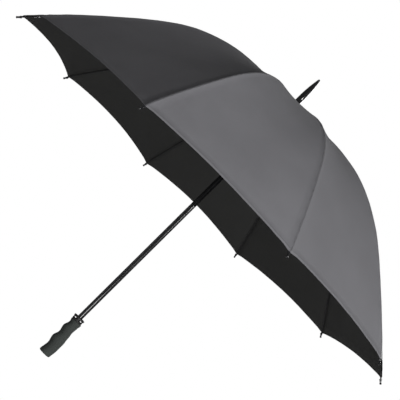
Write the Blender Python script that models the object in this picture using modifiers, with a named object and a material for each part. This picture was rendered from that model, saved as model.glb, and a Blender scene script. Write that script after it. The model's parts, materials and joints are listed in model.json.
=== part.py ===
"""A golf umbrella with ten ribs, standing opened out with its shaft along +Z.

The origin is the middle of the handle's flat end. Rib number 1 points along +X and the others
follow every 36 degrees. Each rib turns on the notch, each stretcher turns on its rib and on the
runner, and the runner slides on the shaft. A rib's pivot, its stretcher's pivot and the runner
form an equal-sided pair of links, so the runner's pivots stay straight below the notch's.
"""

import math

import bmesh
import bpy
from mathutils import Matrix, Vector

# Driving dimensions, in metres and degrees
RIB_COUNT = 10
RIM_RADIUS = 0.645
RIM_Z = 0.5515
CROWN_Z = 0.8754
OVERALL_LENGTH = 0.976
CLOSED_TIP_RADIUS = 0.022
GAP = 0.0003
EDGE = 0.0010

SHAFT_RADIUS = 0.007
SHAFT_BORE = 0.0054
SHAFT_FOOT_Z = 0.012
SHAFT_IN_FERRULE = 0.030
BORE_RADIUS = SHAFT_RADIUS + GAP

WASHER_RADIUS = 0.0165
WASHER_HEIGHT = 0.0020
WASHER_CLEARANCE = 0.0006
FERRULE_RADIUS = 0.0085
FERRULE_TIP = 0.0025
FERRULE_TAPER = 0.0680
FERRULE_FLARE = 2.1
FERRULE_STEPS = 6

CLOTH = 0.001
CLOTH_HOLE = 0.0078
GORE_ROWS = 15
GORE_COLUMNS = 4
LAST_SHARE = 0.999
STRAP_SHARES = (0.70, 0.93)
STRAP_SIDES = (-0.42, -0.30)
STRAP_LIFT = 0.0030
STRAP_PANEL = 3
HEM_RISE = 0.020
PANEL_DIP = 0.010
TIP_SLOPE = 54.0
BEND_START = 0.02
BEND_END = 0.67
EVEN_BEND = 0.28

RIB_ROD = 0.0016
CLIP_SLEEVE = 0.0029
RIB_BELOW_CLOTH = CLOTH + CLIP_SLEEVE + 0.0006
RIB_END_DROP = 0.0042
RIB_END_SHARE = 0.06
STRETCHER_ROD = 0.0015
KNEE_ROW = 6
STRETCHER_OFFSET = 0.0056

PIVOT_RADIUS = 0.0115
WIRE = 0.0007
EYE_RADIUS = 0.0025
EYE_HOLE = 0.0011
EYE_WIDTH = 0.0026
SLOT_WIDTH = 0.0038
SLOT_ROOT = 0.0086
HUB_RADIUS = 0.0150
HUB_SKIRT = 0.0055
NOTCH_NECK = 0.0094
NOTCH_NECK_LENGTH = 0.0080
NOTCH_SLOT_HEIGHT = 0.0300
RUNNER_ABOVE = 0.0045
RUNNER_BELOW = 0.0050
RUNNER_SLOT_HEIGHT = 0.0160

TIP_CAP_LENGTH = 0.0150
TIP_CAP_RADIUS = 0.0034
TIP_CAP_SOCKET = 0.0085

TONGUE_WIDTH = 0.0020
TONGUE_LENGTH = 0.010
CHEEK_INNER = 0.00135
CHEEK_WIDTH = 0.0011
CHEEK_LENGTH = 0.0062
CHEEK_SPARE = 0.0022
TONGUE_HEIGHT = 0.0032
TONGUE_OVERLAP = 0.0015
CLIP_LENGTH = 0.016
PIN = 0.0008

RUNNER_SLEEVE_LENGTH = 0.050
RUNNER_SLEEVE = 0.0098
RUNNER_SHOULDER = 0.0030
RUNNER_FOOT = 0.0118
RUNNER_FOOT_HEIGHT = 0.0050
CATCH_WIDTH = 0.0018
CATCH_NOSE = 0.0030
CATCH_NOSE_HEIGHT = 0.0030
CATCH_RAMP = 0.0080
CATCH_LENGTH = 0.0300
CATCH_BACK = 0.0036
CATCH_INNER = 0.0008
CATCH_TRAVEL = 0.0036
CATCH_SLOT = (0.0030, 0.0080, 0.0345)
RUNNER_WINDOW = (0.0040, 0.0080, 0.0110)
RUNNER_WINDOW_DROP = 0.0205

GRIP_LENGTH = 0.1116
GRIP_SIDE = 0.0152
CUP_HEIGHT = 0.0115
CUP_RADIUS = 0.0160
CUP_WINDOWS = 6
CUP_WALL = 0.0018
CUP_RIM = 0.0036
CUP_FLOOR = 0.0020
CUP_FOOT_INSET = 0.0018
CUP_WINDOW = (0.0500, 0.0105, 0.0044)
CUP_WINDOW_Z = 0.0052

STEP = 2 * math.pi / RIB_COUNT
HALF_PANEL = STEP / 2


# The curve of an opened rib


def bend_share(share):
    """How much of its bend a rib has taken at a share of its length: soft at both ends."""
    u = min(max((share - BEND_START) / (BEND_END - BEND_START), 0.0), 1.0)
    return (1 - EVEN_BEND) * u * u * (3 - 2 * u) + EVEN_BEND * share


def slope_at(share):
    return math.radians(TIP_SLOPE) * bend_share(share)


def cloth_line(steps=400):
    """Radius and height of the cloth over a rib, from the crown to the rim."""
    r, z = 0.0, 0.0
    line = [(r, z)]
    for i in range(steps):
        a = slope_at((i + 0.5) / steps)
        r += math.cos(a) / steps
        z -= math.sin(a) / steps
        line.append((r, z))
    widen = RIM_RADIUS / r
    deepen = (CROWN_Z - RIM_Z) / -z
    return [(x * widen, CROWN_Z + y * deepen) for x, y in line]


CLOTH_LINE = cloth_line()


def cloth_at(share):
    """Radius and height at a share of the rib's length."""
    at = min(max(share, 0.0), 1.0) * (len(CLOTH_LINE) - 1)
    i = min(int(at), len(CLOTH_LINE) - 2)
    (r0, z0), (r1, z1) = CLOTH_LINE[i], CLOTH_LINE[i + 1]
    return Vector((r0 + (r1 - r0) * (at - i), z0 + (z1 - z0) * (at - i)))


def direction_at(share):
    step = 0.004
    low = max(share - step, 0.0)
    high = min(share + step, 1.0)
    return (cloth_at(high) - cloth_at(low)).normalized()


def inward_at(share):
    """The direction from the cloth to its inner side, square to the rib."""
    along = direction_at(share)
    return Vector((along.y, -along.x)).normalized()


def rib_at(share):
    """Radius and height of a rib's centre line, which dips to its pivot near the shaft."""
    drop = RIB_BELOW_CLOTH
    if share < RIB_END_SHARE:
        drop += RIB_END_DROP * (1 - share / RIB_END_SHARE) ** 2
    return cloth_at(share) + inward_at(share) * drop


CLOTH_LENGTH = sum(math.dist(a, b) for a, b in zip(CLOTH_LINE, CLOTH_LINE[1:]))
FIRST_SHARE = CLOTH_HOLE / CLOTH_LENGTH


def row_share(row):
    """Where the rows of the cloth's grid, and the bends of a rib, lie along a rib."""
    return FIRST_SHARE + (1 - FIRST_SHARE) * row / GORE_ROWS


NOTCH_PIVOT = Vector((PIVOT_RADIUS, rib_at(PIVOT_RADIUS / CLOTH_LENGTH).y))
KNEE_START = rib_at(row_share(KNEE_ROW))
KNEE_END = rib_at(row_share(KNEE_ROW + 1))
KNEE_HEADING = (KNEE_END - KNEE_START).normalized()
KNEE_ON_RIB = (KNEE_START + KNEE_END) / 2
KNEE = KNEE_ON_RIB + Vector((KNEE_HEADING.y, -KNEE_HEADING.x)) * STRETCHER_OFFSET
LINK = (KNEE - NOTCH_PIVOT).length
RUNNER_PIVOT = Vector((PIVOT_RADIUS, 2 * KNEE.y - NOTCH_PIVOT.y))
TIP = rib_at(1.0)

TIP_REACH = (TIP - NOTCH_PIVOT).length
TIP_ANGLE = math.atan2(TIP.x - NOTCH_PIVOT.x, NOTCH_PIVOT.y - TIP.y)
FOLD_ANGLE = TIP_ANGLE - math.asin((CLOSED_TIP_RADIUS - PIVOT_RADIUS) / TIP_REACH)
KNEE_ANGLE = math.atan2(KNEE.x - NOTCH_PIVOT.x, NOTCH_PIVOT.y - KNEE.y)
CLOSED_RUNNER_Z = NOTCH_PIVOT.y - 2 * LINK * math.cos(KNEE_ANGLE - FOLD_ANGLE)

RUNNER_FOOT_Z = RUNNER_PIVOT.y - RUNNER_BELOW - RUNNER_SLEEVE_LENGTH
TOP_CATCH_Z = RUNNER_FOOT_Z - GAP
BOTTOM_CATCH_Z = CLOSED_RUNNER_Z - RUNNER_WINDOW_DROP + RUNNER_WINDOW[2] / 2 - EDGE


# The scene


def clear_scene():
    for obj in list(bpy.data.objects):
        bpy.data.objects.remove(obj, do_unlink=True)


def new_collection(name):
    collection = bpy.data.collections.new(name)
    bpy.context.scene.collection.children.link(collection)
    return collection


clear_scene()
PARTS = new_collection("golf_umbrella")
CUTTERS = new_collection("cutters")


def material(name, color, roughness, metallic=0.0):
    m = bpy.data.materials.new(name)
    m.use_nodes = True
    shader = m.node_tree.nodes["Principled BSDF"]
    shader.inputs["Base Color"].default_value = (*color, 1.0)
    shader.inputs["Roughness"].default_value = roughness
    shader.inputs["Metallic"].default_value = metallic
    m.diffuse_color = (*color, 1.0)
    return m


CLOTH_GREY = material("canopy_cloth", (0.15, 0.15, 0.16), 0.75)
GLOSS_BLACK = material("gloss_black", (0.012, 0.012, 0.014), 0.18)
PLASTIC_BLACK = material("plastic_black", (0.02, 0.02, 0.02), 0.4)
FIBRE_BLACK = material("fibreglass_black", (0.015, 0.015, 0.016), 0.3)
GRIP_RUBBER = material("grip_rubber", (0.05, 0.055, 0.05), 0.8)
SPRING_STEEL = material("spring_steel", (0.55, 0.55, 0.56), 0.3, 1.0)
ENAMEL_BLACK = material("enamelled_steel", (0.02, 0.02, 0.022), 0.35, 0.6)


# Building helpers


def link_object(name, data, finish=None, collection=None):
    obj = bpy.data.objects.new(name, data)
    (collection or PARTS).objects.link(obj)
    if finish:
        obj.data.materials.clear()
        obj.data.materials.append(finish)
    return obj


def shade(mesh, angle=35):
    mesh.shade_smooth()
    mesh.set_sharp_from_angle(angle=math.radians(angle))


def turned(name, profile, finish=None, closed=True, segments=24, collection=None):
    """A profile turned round Z. It runs down the outer side, top to bottom."""
    mesh = bpy.data.meshes.new(name)
    count = len(profile)
    edges = [(i, i + 1) for i in range(count - 1)]
    if closed:
        edges.append((count - 1, 0))
    mesh.from_pydata([(r, 0.0, z) for r, z in profile], edges, [])
    obj = link_object(name, mesh, finish, collection)
    screw = obj.modifiers.new("turn", "SCREW")
    screw.angle = 2 * math.pi
    screw.steps = segments
    screw.render_steps = segments
    screw.axis = "Z"
    screw.use_merge_vertices = True
    screw.merge_threshold = 0.00001
    screw.use_smooth_shade = True
    return obj


def cylinder(name, radius, depth, matrix, segments=8, collection=None):
    mesh = bpy.data.meshes.new(name)
    bm = bmesh.new()
    bmesh.ops.create_cone(
        bm, cap_ends=True, segments=segments, radius1=radius, radius2=radius, depth=depth
    )
    bmesh.ops.transform(bm, matrix=matrix, verts=bm.verts)
    bm.to_mesh(mesh)
    bm.free()
    return link_object(name, mesh, None, collection or CUTTERS)


def block(name, size, matrix, collection=None):
    mesh = bpy.data.meshes.new(name)
    bm = bmesh.new()
    bmesh.ops.create_cube(bm, size=1.0)
    bmesh.ops.scale(bm, vec=size, verts=bm.verts)
    bmesh.ops.transform(bm, matrix=matrix, verts=bm.verts)
    bm.to_mesh(mesh)
    bm.free()
    return link_object(name, mesh, None, collection or CUTTERS)


def rod(name, points, radius):
    """A round rod along a line of points, with its caps welded, as a mesh object."""
    curve = bpy.data.curves.new(name, "CURVE")
    curve.dimensions = "3D"
    curve.bevel_depth = radius
    curve.bevel_resolution = 1
    curve.use_fill_caps = True
    spline = curve.splines.new("POLY")
    spline.points.add(len(points) - 1)
    for spot, p in zip(spline.points, points):
        spot.co = (*p, 1.0)
    guide = link_object(name + "_guide", curve, None, CUTTERS)
    mesh = bake(guide)
    bm = bmesh.new()
    bm.from_mesh(mesh)
    bmesh.ops.remove_doubles(bm, verts=bm.verts, dist=0.00001)
    bmesh.ops.recalc_face_normals(bm, faces=bm.faces)
    bm.to_mesh(mesh)
    bm.free()
    obj = link_object(name, mesh, None, CUTTERS)
    obj.matrix_world = guide.matrix_world
    bpy.data.objects.remove(guide, do_unlink=True)
    return obj


def bake(obj):
    """The object's mesh with its modifiers applied."""
    bpy.context.view_layer.update()
    graph = bpy.context.evaluated_depsgraph_get()
    return bpy.data.meshes.new_from_object(obj.evaluated_get(graph))


def combine(obj, tool, operation):
    """Joins the tool to the object or cuts it away, and hides the tool."""
    boolean = obj.modifiers.new(operation.lower(), "BOOLEAN")
    boolean.operation = operation
    boolean.solver = "EXACT"
    boolean.object = tool
    tool.hide_render = True
    tool.display_type = "WIRE"


def finished(obj, tools):
    """The object's final mesh. Its own object and its tools are removed."""
    mesh = bake(obj)
    for spare in [obj, *tools]:
        bpy.data.objects.remove(spare, do_unlink=True)
    shade(mesh)
    return mesh


def ring_of(name, mesh, finish, origin):
    """One object for each rib, all with the same mesh, turned round the shaft."""
    mesh.materials.clear()
    mesh.materials.append(finish)
    for k in range(RIB_COUNT):
        obj = link_object(f"{name}_{k + 1:02d}", mesh)
        turn = Matrix.Rotation(k * STEP, 4, "Z")
        obj.matrix_world = turn @ Matrix.Translation((origin.x, 0.0, origin.y))


def across(x, z, y=0.0):
    """Turns a Z cylinder to lie along Y at a place in the rib's plane."""
    return Matrix.Translation((x, y, z)) @ Matrix.Rotation(math.pi / 2, 4, "X")


def along(x, z, direction):
    """Lays +X along a direction in the rib's plane, at a place in it."""
    tilt = -math.atan2(direction.y, direction.x)
    return Matrix.Translation((x, 0.0, z)) @ Matrix.Rotation(tilt, 4, "Y")


def eased(stations, z):
    """A smooth value between stations of (height, value)."""
    for (z0, a), (z1, b) in zip(stations, stations[1:]):
        if z <= z1:
            t = (z - z0) / (z1 - z0)
            return a + (b - a) * (1 - math.cos(math.pi * t)) / 2
    return stations[-1][1]


# Shaft, ferrule, washer and handle


def make_catch_slots(shaft):
    for name, top in (("top", TOP_CATCH_Z), ("bottom", BOTTOM_CATCH_Z)):
        place = Matrix.Translation((0.0, SHAFT_RADIUS, top - CATCH_LENGTH / 2 - EDGE))
        slot = block(f"{name}_catch_slot", CATCH_SLOT, place)
        combine(shaft, slot, "DIFFERENCE")


def make_shaft():
    top = CROWN_Z + SHAFT_IN_FERRULE
    profile = [
        (SHAFT_RADIUS, top),
        (SHAFT_RADIUS, SHAFT_FOOT_Z),
        (SHAFT_BORE, SHAFT_FOOT_Z),
        (SHAFT_BORE, top),
    ]
    shaft = turned("shaft", profile, FIBRE_BLACK, segments=20)
    make_catch_slots(shaft)


def make_ferrule():
    base = CROWN_Z + WASHER_CLEARANCE + WASHER_HEIGHT + GAP
    taper_end = OVERALL_LENGTH - EDGE - FERRULE_TAPER
    outline = []
    for i in range(FERRULE_STEPS + 1):
        t = 1 - i / FERRULE_STEPS
        radius = FERRULE_TIP + (FERRULE_RADIUS - FERRULE_TIP) * (1 - t**FERRULE_FLARE)
        outline.append((radius, taper_end + FERRULE_TAPER * t))
    profile = [(0.0, OVERALL_LENGTH), (FERRULE_TIP - EDGE, OVERALL_LENGTH - GAP), *outline]
    profile += [(FERRULE_RADIUS, base), (BORE_RADIUS, base)]
    socket = CROWN_Z + SHAFT_IN_FERRULE + GAP
    profile += [(BORE_RADIUS, socket), (0.0, socket)]
    turned("ferrule", profile, GLOSS_BLACK, closed=False, segments=20)


def make_washer():
    low = CROWN_Z + WASHER_CLEARANCE
    high = low + WASHER_HEIGHT
    profile = [
        (FERRULE_RADIUS + EDGE, high),
        (WASHER_RADIUS - 1.5 * EDGE, high - EDGE / 2),
        (WASHER_RADIUS, low + EDGE),
        (WASHER_RADIUS, low),
        (BORE_RADIUS, low),
        (BORE_RADIUS, high),
    ]
    turned("canopy_washer", profile, PLASTIC_BLACK, segments=20)


GRIP_BACK = (
    (0.000, 0.0160),
    (0.024, 0.0185),
    (0.046, 0.0185),
    (0.068, 0.0162),
    (0.083, 0.0142),
    (0.098, 0.0152),
    (GRIP_LENGTH, 0.0172),
)
GRIP_FRONT = (
    (0.000, 0.0166),
    (0.026, 0.0134),
    (0.047, 0.0176),
    (0.065, 0.0130),
    (0.083, 0.0166),
    (0.100, 0.0122),
    (GRIP_LENGTH, 0.0148),
)


def grip_point(turn, z):
    """A point on the grip: smooth at +X, finger grooves at -X, round at both sides."""
    c, s = math.cos(turn), math.sin(turn)
    reach = eased(GRIP_BACK, z) if c > 0 else eased(GRIP_FRONT, z)
    edge = min(z, GRIP_LENGTH - z)
    inset = 0.0012 * max(0.0, 1 - edge / 0.0025) ** 2
    side = GRIP_SIDE - inset
    return Vector(((reach - inset) * c, side * s, z))


def make_grip():
    sides, rows = 20, 18
    mesh = bpy.data.meshes.new("grip")
    bm = bmesh.new()
    bmesh.ops.create_grid(bm, x_segments=sides, y_segments=rows, size=0.5)
    for v in bm.verts:
        v.co = grip_point((v.co.x + 0.5) * 2 * math.pi, (v.co.y + 0.5) * GRIP_LENGTH)
    bmesh.ops.remove_doubles(bm, verts=bm.verts, dist=0.00001)
    bmesh.ops.holes_fill(bm, edges=[e for e in bm.edges if e.is_boundary], sides=0)
    bmesh.ops.recalc_face_normals(bm, faces=bm.faces)
    bm.to_mesh(mesh)
    bm.free()
    shade(mesh, 50)
    grip = link_object("grip", mesh, GRIP_RUBBER)
    depth = 0.2
    place = Matrix.Translation((0.0, 0.0, SHAFT_FOOT_Z - GAP + depth / 2))
    bore = cylinder("grip_bore", BORE_RADIUS + 0.0002, depth, place, segments=20)
    combine(grip, bore, "DIFFERENCE")


def make_tip_cup():
    low = GRIP_LENGTH + GAP
    high = low + CUP_HEIGHT
    waist = CUP_RADIUS - EDGE
    foot = CUP_RADIUS - CUP_FOOT_INSET
    profile = [
        (CUP_RADIUS - CUP_WALL, high),
        (CUP_RADIUS, high - EDGE / 2),
        (CUP_RADIUS, high - CUP_RIM),
        (waist, low + 2 * CUP_FLOOR),
        (foot, low),
        (BORE_RADIUS, low),
        (BORE_RADIUS, low + CUP_FLOOR),
        (foot - CUP_WALL, low + CUP_FLOOR),
        (waist - CUP_WALL, low + 2 * CUP_FLOOR),
        (CUP_RADIUS - CUP_WALL - GAP, high - CUP_RIM),
    ]
    cup = turned("tip_cup", profile, PLASTIC_BLACK, segments=24)
    for k in range(CUP_WINDOWS // 2):
        turn = Matrix.Rotation(k * 2 * math.pi / CUP_WINDOWS, 4, "Z")
        place = turn @ Matrix.Translation((0.0, 0.0, low + CUP_WINDOW_Z))
        window = block(f"cup_window_{k}", CUP_WINDOW, place)
        combine(cup, window, "DIFFERENCE")


# Hubs: the notch that the ribs turn on, and the runner that the stretchers turn on


def add_slots(hub, name, pivot_z, height):
    """Cuts a radial slot for each link and runs a wire round through all of them."""
    for k in range(RIB_COUNT):
        turn = Matrix.Rotation(k * STEP, 4, "Z")
        length = HUB_RADIUS
        place = turn @ Matrix.Translation((SLOT_ROOT + length / 2, 0.0, pivot_z))
        slot = block(f"{name}_slot_{k}", (length, SLOT_WIDTH, height), place)
        combine(hub, slot, "DIFFERENCE")
    ring = turned(f"{name}_wire", wire_profile(pivot_z), None, True, 20, CUTTERS)
    combine(hub, ring, "UNION")


def wire_profile(z):
    sides = 6
    spots = []
    for i in range(sides):
        a = math.pi / 2 - 2 * math.pi * (i + 0.5) / sides
        spots.append((PIVOT_RADIUS + WIRE * math.cos(a), z + WIRE * math.sin(a)))
    return spots


def make_notch():
    top = CROWN_Z - CLOTH - EDGE
    low = NOTCH_PIVOT.y - HUB_SKIRT
    neck_end = low - NOTCH_NECK_LENGTH
    profile = [
        (HUB_RADIUS - EDGE, top),
        (HUB_RADIUS, top - EDGE),
        (HUB_RADIUS, low + EDGE),
        (HUB_RADIUS - EDGE, low),
        (NOTCH_NECK, low),
        (NOTCH_NECK, neck_end),
        (BORE_RADIUS, neck_end),
        (BORE_RADIUS, top),
    ]
    notch = turned("notch", profile, PLASTIC_BLACK, segments=20)
    add_slots(notch, "notch", NOTCH_PIVOT.y, NOTCH_SLOT_HEIGHT)


def make_runner():
    pivot = RUNNER_PIVOT.y
    top = pivot + RUNNER_ABOVE
    low = pivot - RUNNER_BELOW
    foot = RUNNER_FOOT_Z
    profile = [
        (HUB_RADIUS - EDGE, top),
        (HUB_RADIUS, top - EDGE),
        (HUB_RADIUS, low + EDGE),
        (HUB_RADIUS - EDGE, low),
        (RUNNER_SLEEVE, low - RUNNER_SHOULDER),
        (RUNNER_SLEEVE, foot + RUNNER_FOOT_HEIGHT + RUNNER_SHOULDER),
        (RUNNER_FOOT, foot + RUNNER_FOOT_HEIGHT),
        (RUNNER_FOOT, foot),
        (BORE_RADIUS, foot),
        (BORE_RADIUS, top),
    ]
    runner = turned("runner", profile, PLASTIC_BLACK, segments=20)
    add_slots(runner, "runner", pivot, RUNNER_SLOT_HEIGHT)
    place = Matrix.Translation((0.0, RUNNER_SLEEVE, pivot - RUNNER_WINDOW_DROP))
    window = block("runner_window", RUNNER_WINDOW, place)
    combine(runner, window, "DIFFERENCE")


def make_catch(name, top_z):
    """A spring leaf that lies in the shaft and puts its nose out through a slot."""
    nose = SHAFT_RADIUS + CATCH_NOSE
    ramp_end = top_z - CATCH_NOSE_HEIGHT - CATCH_RAMP
    foot = top_z - CATCH_LENGTH
    outline = [
        (nose, top_z),
        (nose, top_z - CATCH_NOSE_HEIGHT),
        (SHAFT_RADIUS - GAP, ramp_end),
        (CATCH_BACK, ramp_end - CATCH_NOSE_HEIGHT),
        (CATCH_BACK, foot),
        (CATCH_INNER, foot),
        (CATCH_INNER, top_z - 2 * EDGE),
        (CATCH_BACK, top_z),
    ]
    curve = bpy.data.curves.new(name, "CURVE")
    curve.dimensions = "2D"
    curve.fill_mode = "BOTH"
    curve.extrude = CATCH_WIDTH / 2
    spline = curve.splines.new("POLY")
    spline.points.add(len(outline) - 1)
    for spot, (y, z) in zip(spline.points, outline):
        spot.co = (y, z, 0.0, 1.0)
    spline.use_cyclic_u = True
    obj = link_object(name, curve, SPRING_STEEL)
    obj.matrix_world = Matrix(((0, 0, 1, 0), (1, 0, 0, 0), (0, 1, 0, 0), (0, 0, 0, 1)))


# Ribs, stretchers, clips and tip caps


def local(point, origin):
    return Vector((point.x - origin.x, 0.0, point.y - origin.y))


def eye(name, x, z, width, radius=EYE_RADIUS):
    return cylinder(name, radius, width, across(x, z))


def make_ribs():
    shares = [row_share(row) for row in range(2, GORE_ROWS + 1)]
    points = [Vector((0.0012, 0.0, 0.0))]
    points += [local(rib_at(s), NOTCH_PIVOT) for s in (0.025, 0.045, row_share(1), *shares)]
    end = TIP + direction_at(1.0) * (TIP_CAP_SOCKET - 0.0005)
    points.append(local(end, NOTCH_PIVOT))
    rib = rod("rib", points, RIB_ROD)
    ring = eye("rib_eye", 0.0, 0.0, EYE_WIDTH)
    combine(rib, ring, "UNION")
    hole = eye("rib_eye_hole", 0.0, 0.0, EYE_WIDTH * 2, EYE_HOLE)
    combine(rib, hole, "DIFFERENCE")
    ring_of("rib", finished(rib, [ring, hole]), FIBRE_BLACK, NOTCH_PIVOT)


def make_stretchers():
    """Straight links from the knee in to the runner, with a flat tongue and eye at each end."""
    inward = (RUNNER_PIVOT - KNEE).normalized()
    start = inward * (TONGUE_LENGTH - TONGUE_OVERLAP)
    finish_at = inward * (LINK - TONGUE_LENGTH + TONGUE_OVERLAP)
    points = [Vector((p.x, 0.0, p.y)) for p in (start, finish_at)]
    link = rod("stretcher", points, STRETCHER_ROD)
    tools = []
    for name, middle in (("outer", 0.5), ("inner", LINK / TONGUE_LENGTH - 0.5)):
        at = inward * (TONGUE_LENGTH * middle)
        size = (TONGUE_LENGTH, TONGUE_WIDTH, TONGUE_HEIGHT)
        tongue = block(f"stretcher_tongue_{name}", size, along(at.x, at.y, inward))
        combine(link, tongue, "UNION")
        tools.append(tongue)
    for name, reach in (("outer", 0.0), ("inner", LINK)):
        at = inward * reach
        ring = eye(f"stretcher_eye_{name}", at.x, at.y, TONGUE_WIDTH)
        combine(link, ring, "UNION")
        hole = eye(f"stretcher_hole_{name}", at.x, at.y, EYE_WIDTH * 2, EYE_HOLE)
        tools += [ring, hole]
    for hole in (tools[3], tools[5]):
        combine(link, hole, "DIFFERENCE")
    ring_of("stretcher", finished(link, tools), ENAMEL_BLACK, KNEE)


def make_clips():
    """A sleeve crimped round the rib, with two cheeks and a pin that carry the stretcher."""
    heading = KNEE_HEADING
    centre = KNEE_ON_RIB - KNEE
    turn = along(centre.x, centre.y, heading) @ Matrix.Rotation(math.pi / 2, 4, "Y")
    sleeve = cylinder("clip_sleeve", CLIP_SLEEVE, CLIP_LENGTH, turn)
    tools = []
    height = STRETCHER_OFFSET + CHEEK_SPARE
    for side in (-1, 1):
        offset = side * (CHEEK_INNER + CHEEK_WIDTH / 2)
        place = along(centre.x / 2, centre.y / 2, heading) @ Matrix.Translation((0, offset, -0.0008))
        cheek = block(f"clip_cheek_{side}", (CHEEK_LENGTH, CHEEK_WIDTH, height), place)
        combine(sleeve, cheek, "UNION")
        tools.append(cheek)
    pin = cylinder("clip_pin", PIN, 2 * (CHEEK_INNER + CHEEK_WIDTH) - 0.0002, across(0, 0), 8)
    combine(sleeve, pin, "UNION")
    bore = cylinder("clip_bore", RIB_ROD + 0.00035, CLIP_LENGTH * 2, turn)
    combine(sleeve, bore, "DIFFERENCE")
    ring_of("rib_clip", finished(sleeve, [*tools, pin, bore]), ENAMEL_BLACK, KNEE)


def make_tip_caps():
    """A blunt cap on each rib's end, just past the corner of the cloth."""
    first = 0.0006
    ball = TIP_CAP_RADIUS
    profile = [(0.0, TIP_CAP_LENGTH)]
    for i in range(1, 4):
        a = math.pi / 2 * (1 - i / 3)
        height = TIP_CAP_LENGTH - ball + ball * math.sin(a)
        profile.append((ball * math.cos(a), height))
    profile += [
        (TIP_CAP_RADIUS * 0.86, TIP_CAP_LENGTH * 0.55),
        (TIP_CAP_RADIUS * 0.94, first),
        (RIB_ROD + 0.0003, first),
        (RIB_ROD + 0.0003, TIP_CAP_SOCKET),
        (0.0, TIP_CAP_SOCKET),
    ]
    cap = turned("tip_cap", profile, None, closed=False, segments=10, collection=CUTTERS)
    cap.matrix_world = along(0, 0, direction_at(1.0)) @ Matrix.Rotation(math.pi / 2, 4, "Y")
    mesh = bake(cap)
    mesh.transform(cap.matrix_world)
    bpy.data.objects.remove(cap, do_unlink=True)
    shade(mesh, 40)
    ring_of("rib_tip", mesh, GLOSS_BLACK, TIP)


# Cloth


def cloth_point(share, side):
    """A point on the cloth of the rib that lies along +X.

    side runs from -1 to 1, from the middle of one panel over the rib to the middle of the next.
    The cloth is straight from rib to rib, drawn in a little, and its hem rises between ribs.
    """
    away = abs(side)
    spread = 1 - (1 - away) ** 2
    length = share * (1 - HEM_RISE / CLOTH_LENGTH * spread * share**3)
    r, z = cloth_at(length)
    angle = HALF_PANEL * away - GAP / max(r, CLOTH_HOLE) * away
    radius = r * math.cos(HALF_PANEL) / math.cos(HALF_PANEL - angle)
    dip = inward_at(length) * PANEL_DIP * spread * math.sin(math.pi * min(share, 1.0))
    angle = math.copysign(angle, side)
    radius += dip.x
    return Vector((radius * math.cos(angle), radius * math.sin(angle), z + dip.y))


def cloth_patch(name, finish, shares, sides, rows, columns, lift):
    """A grid laid on the cloth between two shares and two sides, lifted and thickened."""
    mesh = bpy.data.meshes.new(name)
    bm = bmesh.new()
    bmesh.ops.create_grid(bm, x_segments=columns, y_segments=rows, size=0.5)
    for v in bm.verts:
        side = sides[0] + (sides[1] - sides[0]) * (v.co.x + 0.5)
        share = shares[0] + (shares[1] - shares[0]) * (v.co.y + 0.5)
        v.co = cloth_point(share, side)
        v.co.z += lift
    bmesh.ops.recalc_face_normals(bm, faces=bm.faces)
    if sum(f.normal.z for f in bm.faces) < 0:
        bmesh.ops.reverse_faces(bm, faces=bm.faces)
    bm.to_mesh(mesh)
    bm.free()
    obj = link_object(name, mesh, finish)
    solid = obj.modifiers.new("thickness", "SOLIDIFY")
    solid.thickness = CLOTH
    solid.offset = -1.0
    solid.use_even_offset = True
    shade(mesh, 60)
    return obj


def make_gores():
    for k in range(RIB_COUNT):
        name = f"canopy_gore_{k + 1:02d}"
        shares = (FIRST_SHARE, LAST_SHARE)
        gore = cloth_patch(name, CLOTH_GREY, shares, (-1, 1), GORE_ROWS, GORE_COLUMNS, 0.0)
        gore.matrix_world = Matrix.Rotation(k * STEP, 4, "Z")


def make_closing_strap():
    """A strap that lies on the outside of one far panel, by the hem."""
    strap = cloth_patch("closing_strap", CLOTH_GREY, STRAP_SHARES, STRAP_SIDES, 6, 1, STRAP_LIFT)
    strap.matrix_world = Matrix.Rotation(STRAP_PANEL * STEP, 4, "Z")


make_shaft()
make_ferrule()
make_washer()
make_grip()
make_tip_cup()
make_notch()
make_runner()
make_catch("top_catch", TOP_CATCH_Z)
make_catch("bottom_catch", BOTTOM_CATCH_Z)
make_ribs()
make_clips()
make_stretchers()
make_tip_caps()
make_gores()
make_closing_strap()
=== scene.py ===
"""The looks of the opened golf umbrella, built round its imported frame.

Lengths are in metres. The shaft stands on +Z, rib 1 points along +X and the camera looks along +Y,
rolled so that the umbrella leans across the picture.
"""

import json
import math

import bmesh
import bpy
from mathutils import Matrix, Vector, noise

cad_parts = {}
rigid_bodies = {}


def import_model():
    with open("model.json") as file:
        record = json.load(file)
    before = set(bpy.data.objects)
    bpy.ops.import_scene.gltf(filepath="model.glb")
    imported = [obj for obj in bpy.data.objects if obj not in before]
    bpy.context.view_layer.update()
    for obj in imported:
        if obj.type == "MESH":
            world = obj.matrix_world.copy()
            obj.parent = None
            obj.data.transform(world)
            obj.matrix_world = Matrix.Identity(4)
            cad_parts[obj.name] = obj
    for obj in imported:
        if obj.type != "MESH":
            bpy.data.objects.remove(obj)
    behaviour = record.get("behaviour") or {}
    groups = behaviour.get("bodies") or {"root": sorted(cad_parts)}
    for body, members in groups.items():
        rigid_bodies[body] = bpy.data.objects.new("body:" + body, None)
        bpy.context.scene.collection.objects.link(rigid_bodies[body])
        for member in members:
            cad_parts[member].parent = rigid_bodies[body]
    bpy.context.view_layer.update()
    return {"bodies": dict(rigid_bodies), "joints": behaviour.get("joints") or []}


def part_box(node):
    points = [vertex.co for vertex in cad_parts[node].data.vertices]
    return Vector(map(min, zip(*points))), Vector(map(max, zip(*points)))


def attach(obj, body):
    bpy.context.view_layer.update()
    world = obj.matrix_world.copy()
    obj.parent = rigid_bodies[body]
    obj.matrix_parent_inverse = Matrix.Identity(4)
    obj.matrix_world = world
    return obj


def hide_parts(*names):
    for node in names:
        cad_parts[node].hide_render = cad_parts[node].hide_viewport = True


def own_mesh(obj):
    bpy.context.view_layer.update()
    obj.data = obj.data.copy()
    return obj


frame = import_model()

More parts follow.
